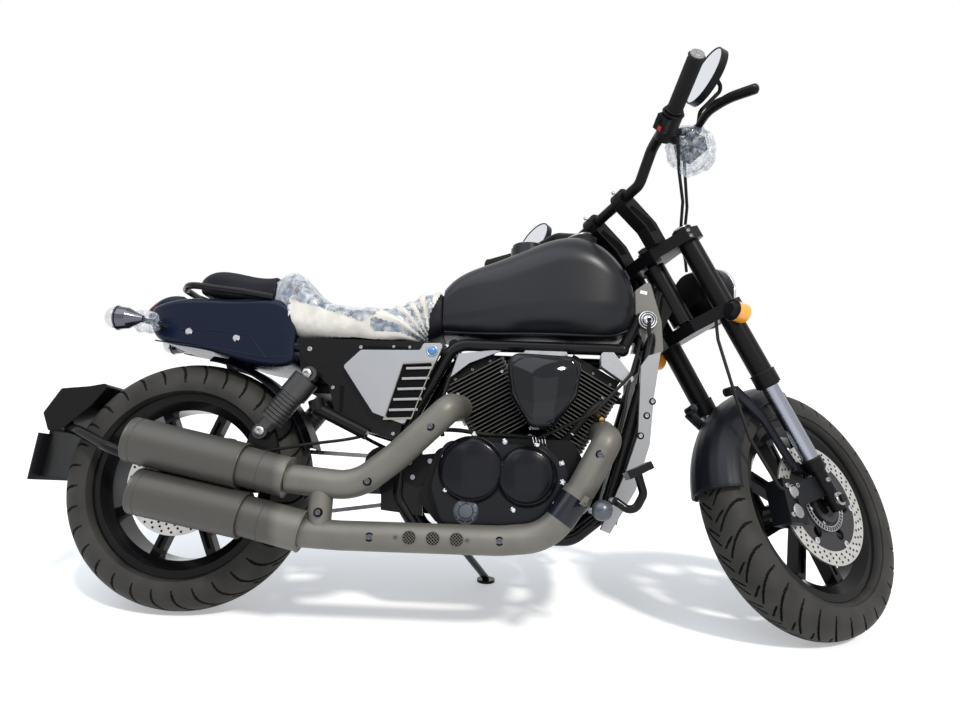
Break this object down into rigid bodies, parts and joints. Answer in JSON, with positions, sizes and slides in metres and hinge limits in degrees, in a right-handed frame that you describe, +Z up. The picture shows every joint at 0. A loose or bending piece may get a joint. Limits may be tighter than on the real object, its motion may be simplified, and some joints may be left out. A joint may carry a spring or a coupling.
{
  "type": "cruiser motorcycle",
  "caption": "Cruiser motorcycle with a V-twin engine, stacked side exhausts, long tank and scooped seat, parked leaning on its side stand with the steering turned left.",
  "frame": {"origin": "on the floor, under the middle of the bounding box of the parked machine", "axes": "+X forward along the machine, +Y to its left (the side it leans to), +Z up; at rest it leans left on its side stand with the steering on its left stop"},
  "size_m": [2.2063, 0.9048, 1.4106],
  "materials": {
    "black_paint": "gloss",
    "satin_black": "satin",
    "black_plastic": "satin",
    "tank_paint": "matte",
    "chrome": "polished",
    "tyre": "matte",
    "black_rim": "gloss black",
    "steel": "brushed",
    "engine_black": "satin black",
    "gloss_black": "gloss black",
    "exhaust": "matte",
    "leather": "matte",
    "silver_plastic": "satin silver",
    "alloy": "satin",
    "rubber": "matte",
    "lamp_glass": "clear",
    "lamp_red": "gloss",
    "amber": "gloss",
    "shock_black": "satin black",
    "mirror": "polished",
    "plate": "satin"
  },
  "bodies": {
    "root": {"frame": "black_paint", "subframe": "black_paint", "swingarm": "black_paint", "shocks": "shock_black", "engine_case": "engine_black", "engine_covers": "gloss_black", "cylinders": "engine_black", "air_cleaner": "gloss_black", "fuel_tank": "tank_paint", "instrument": "black_plastic", "rider_seat": "leather", "pillion_seat": "leather", "grab_rail": "black_paint", "tail_cover": "black_plastic", "rear_lamps": "lamp_red", "side_panels": "silver_plastic", "radiator": "alloy", "radiator_guards": "silver_plastic", "headstock_covers": "black_plastic", "exhaust_upper": "exhaust", "exhaust_lower": "exhaust", "foot_controls": "black_paint", "plate_carrier": "black_paint", "number_plate": "plate", "rear_mudguard": "black_plastic", "rear_caliper": "black_plastic", "drive_chain": "steel", "side_plates": "black_paint", "engine_trim": "silver_plastic", "coil_cover": "black_paint", "rear_reservoir": "black_paint", "clutch_cable": "rubber"},
    "steering": {"fork": "satin_black", "fork_sliders": "chrome", "fork_feet": "satin_black", "headlight": "black_paint", "headlight_lens": "lamp_glass", "risers": "alloy", "handlebar": "satin_black", "grips": "rubber", "hand_controls": "satin_black", "mirrors": "mirror", "front_indicators": "amber", "front_fender": "black_plastic", "front_caliper": "black_plastic", "bar_cables": "rubber", "brake_hose": "rubber"},
    "front_wheel": {"front_tyre": "tyre", "front_rim": "black_rim", "front_disc": "steel"},
    "rear_wheel": {"rear_tyre": "tyre", "rear_rim": "black_rim", "rear_disc": "steel", "rear_sprocket": "steel"},
    "side_stand": {"side_stand": "black_paint"},
    "fuel_cap": {"fuel_cap": "tank_paint"}
  },
  "joints": [
    {"name": "steering", "type": "hinge", "parent": "root", "child": "steering", "pos_m": [0.53406, 0.00434, 0.77541], "axis": [-0.4594, 0.175, 0.8708], "range_deg": [-69.6, 0]},
    {"name": "front_wheel", "type": "hinge", "parent": "steering", "child": "front_wheel", "pos_m": [0.82323, -0.07043, 0.29075], "axis": [-0.508, 0.7525, -0.4192], "continuous": true},
    {"name": "rear_wheel", "type": "hinge", "parent": "root", "child": "rear_wheel", "pos_m": [-0.72955, -0.09149, 0.30808], "axis": [-0.0012, 0.9803, -0.1977], "continuous": true},
    {"name": "side_stand", "type": "hinge", "parent": "root", "child": "side_stand", "pos_m": [-0.03059, 0.00631, 0.14113], "axis": [0.1021, 0.5828, 0.8062], "range_deg": [0, 102.5]},
    {"name": "fuel_cap", "type": "hinge", "parent": "root", "child": "fuel_cap", "pos_m": [0.17156, 0.0404, 0.95654], "axis": [-0.0012, 0.9803, -0.1977], "range_deg": [0, 90]}
  ]
}
